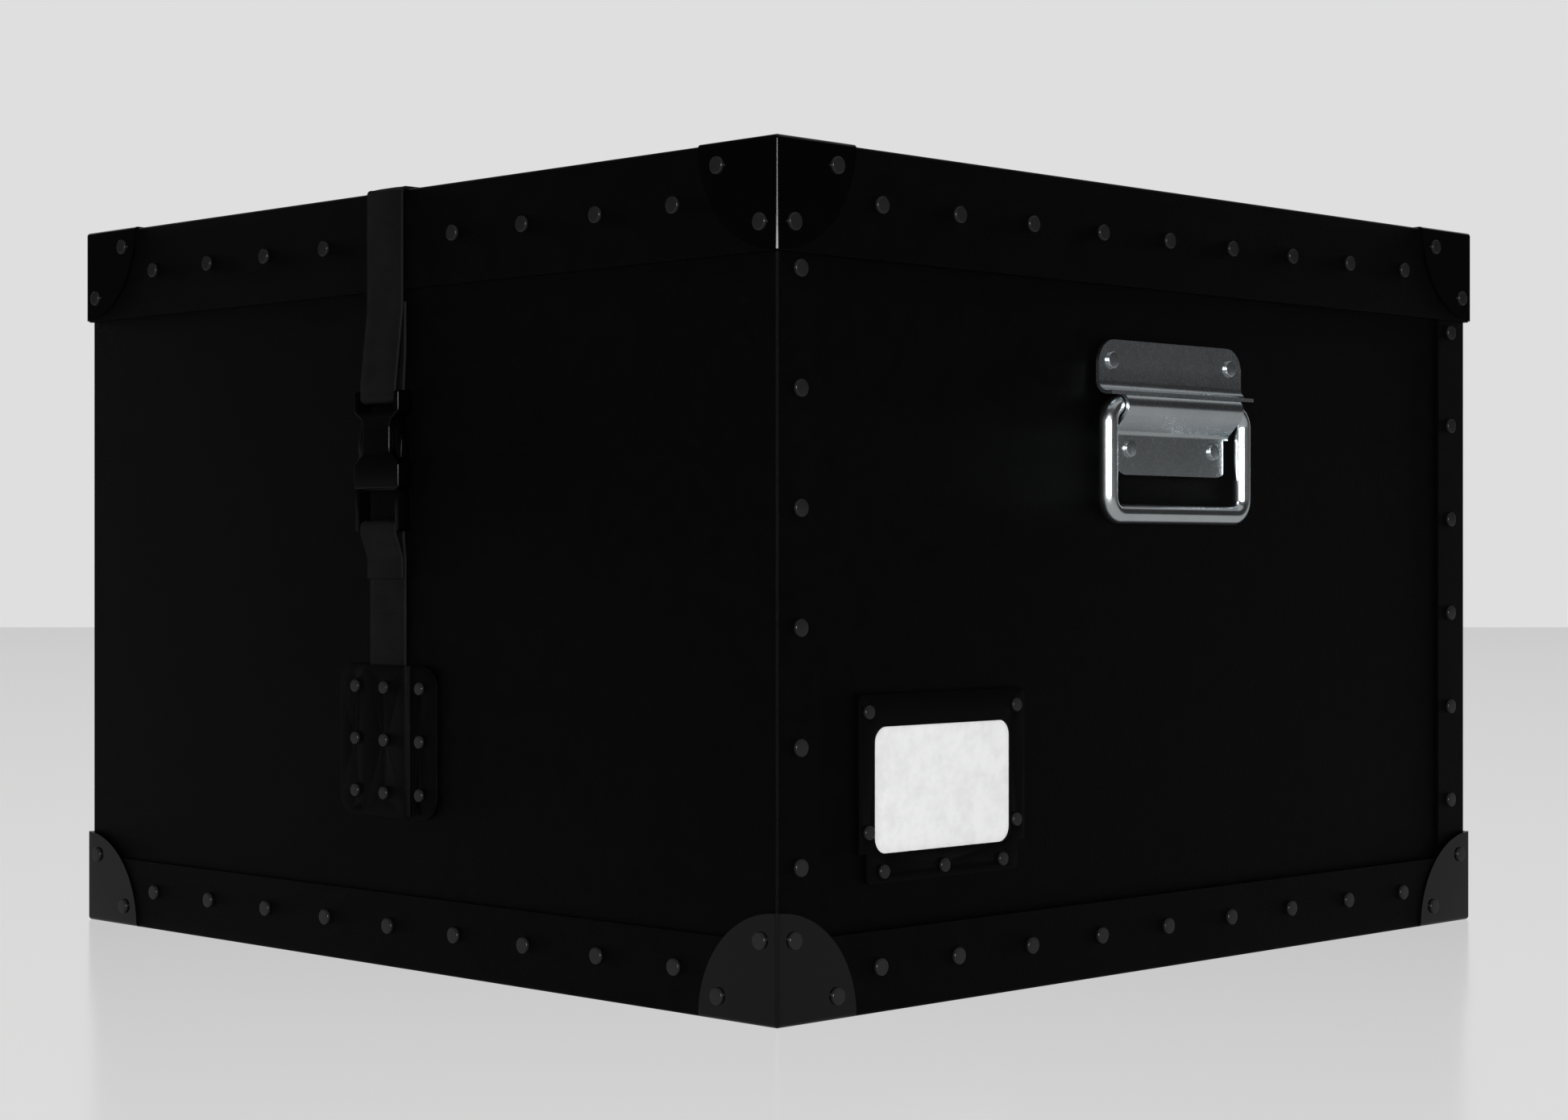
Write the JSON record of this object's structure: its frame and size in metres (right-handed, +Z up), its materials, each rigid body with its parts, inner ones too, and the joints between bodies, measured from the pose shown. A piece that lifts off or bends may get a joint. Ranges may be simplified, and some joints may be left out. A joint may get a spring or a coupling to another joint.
{
  "type": "transit case",
  "caption": "Square black fibre transit case with a drop-on lid, steel corner caps, a drop handle on each end, a card holder and a buckled webbing strap.",
  "frame": {"origin": "centre of the underside of the tray, on the surface it stands on", "axes": "+Z up; -Y is the front with the visible strap buckle; +X is the end with the card holder"},
  "size_m": [0.5192, 0.5112, 0.3522],
  "materials": {
    "fibre": "matt black vulcanised fibre",
    "cap_enamel": "gloss black enamel",
    "rivet": "black zinc",
    "handle_rivet": "zinc plated",
    "webbing": "ribbed black webbing",
    "buckle": "moulded black acetal",
    "batten": "planed pine",
    "handle_steel": "zinc plated, satin",
    "bail_steel": "bright zinc plated",
    "backing_steel": "zinc plated",
    "holder": "satin black enamel",
    "card": "plain white card"
  },
  "bodies": {
    "root": {"base_tray": "fibre", "front_panel": "fibre", "back_panel": "fibre", "right_end_panel": "fibre", "left_end_panel": "fibre", "base_band_rivets": "rivet", "base_cap_rivets": "rivet", "seam_rivets_right": "rivet", "seam_rivets_left": "rivet", "handle_plate_right": "handle_steel", "handle_plate_left": "handle_steel", "handle_backing_right": "backing_steel", "handle_backing_left": "backing_steel", "handle_rivets_right": "handle_rivet", "handle_rivets_left": "handle_rivet", "label_holder": "holder", "label_rivets": "rivet", "strap_lower_front": "webbing", "strap_lower_back": "webbing", "strap_patch_front": "fibre", "strap_patch_back": "fibre", "patch_backing_front": "backing_steel", "patch_backing_back": "backing_steel", "patch_rivets_front": "rivet", "patch_rivets_back": "rivet", "buckle_plug_front": "buckle", "buckle_plug_back": "buckle", "base_cap_front_left": "cap_enamel", "base_cap_front_right": "cap_enamel", "base_cap_back_right": "cap_enamel", "base_cap_back_left": "cap_enamel"},
    "lid": {"lid_tray": "fibre", "lid_rim_rivets": "rivet", "lid_cap_rivets": "rivet", "strap_upper": "webbing", "strap_rivets": "rivet", "buckle_socket_front": "buckle", "buckle_socket_back": "buckle", "lid_cap_front_left": "cap_enamel", "lid_cap_front_right": "cap_enamel", "lid_cap_back_right": "cap_enamel", "lid_cap_back_left": "cap_enamel", "lid_batten_front": "batten", "lid_batten_right": "batten", "lid_batten_back": "batten", "lid_batten_left": "batten"},
    "bail_right": {"handle_bail_right": "bail_steel"},
    "bail_left": {"handle_bail_left": "bail_steel"},
    "card": {"label_card": "card"},
    "latch_arm_front_right": {"latch_arm_front_right": "buckle"},
    "latch_arm_front_left": {"latch_arm_front_left": "buckle"},
    "latch_arm_back_right": {"latch_arm_back_right": "buckle"},
    "latch_arm_back_left": {"latch_arm_back_left": "buckle"}
  },
  "joints": [
    {"name": "lid_lift", "type": "slide", "parent": "root", "child": "lid", "axis": [0, 0, 1], "range_m": [0, 0.16], "deforming": ["latch_arm_front_right", "latch_arm_front_left", "latch_arm_back_right", "latch_arm_back_left"]},
    {"name": "bail_right_swing", "type": "hinge", "parent": "root", "child": "bail_right", "pos_m": [0.2533, 0, 0.2512], "axis": [0, -1, 0], "range_deg": [0, 90]},
    {"name": "bail_left_swing", "type": "hinge", "parent": "root", "child": "bail_left", "pos_m": [-0.2533, 0, 0.2512], "axis": [0, 1, 0], "range_deg": [0, 90]},
    {"name": "card_slide", "type": "slide", "parent": "root", "child": "card", "axis": [0, 0, 1], "range_m": [0, 0.07]},
    {"name": "latch_front_right_squeeze", "type": "hinge", "parent": "root", "child": "latch_arm_front_right", "pos_m": [0.0105, -0.2515, 0.2175], "axis": [0, -1, 0], "range_deg": [0, 11], "stiffness_Nm_per_rad": 0.3},
    {"name": "latch_front_left_squeeze", "type": "hinge", "parent": "root", "child": "latch_arm_front_left", "pos_m": [-0.0105, -0.2515, 0.2175], "axis": [0, 1, 0], "range_deg": [0, 11], "stiffness_Nm_per_rad": 0.3},
    {"name": "latch_back_right_squeeze", "type": "hinge", "parent": "root", "child": "latch_arm_back_right", "pos_m": [-0.0105, 0.2515, 0.2175], "axis": [0, 1, 0], "range_deg": [0, 11], "stiffness_Nm_per_rad": 0.3},
    {"name": "latch_back_left_squeeze", "type": "hinge", "parent": "root", "child": "latch_arm_back_left", "pos_m": [0.0105, 0.2515, 0.2175], "axis": [0, -1, 0], "range_deg": [0, 11], "stiffness_Nm_per_rad": 0.3}
  ]
}
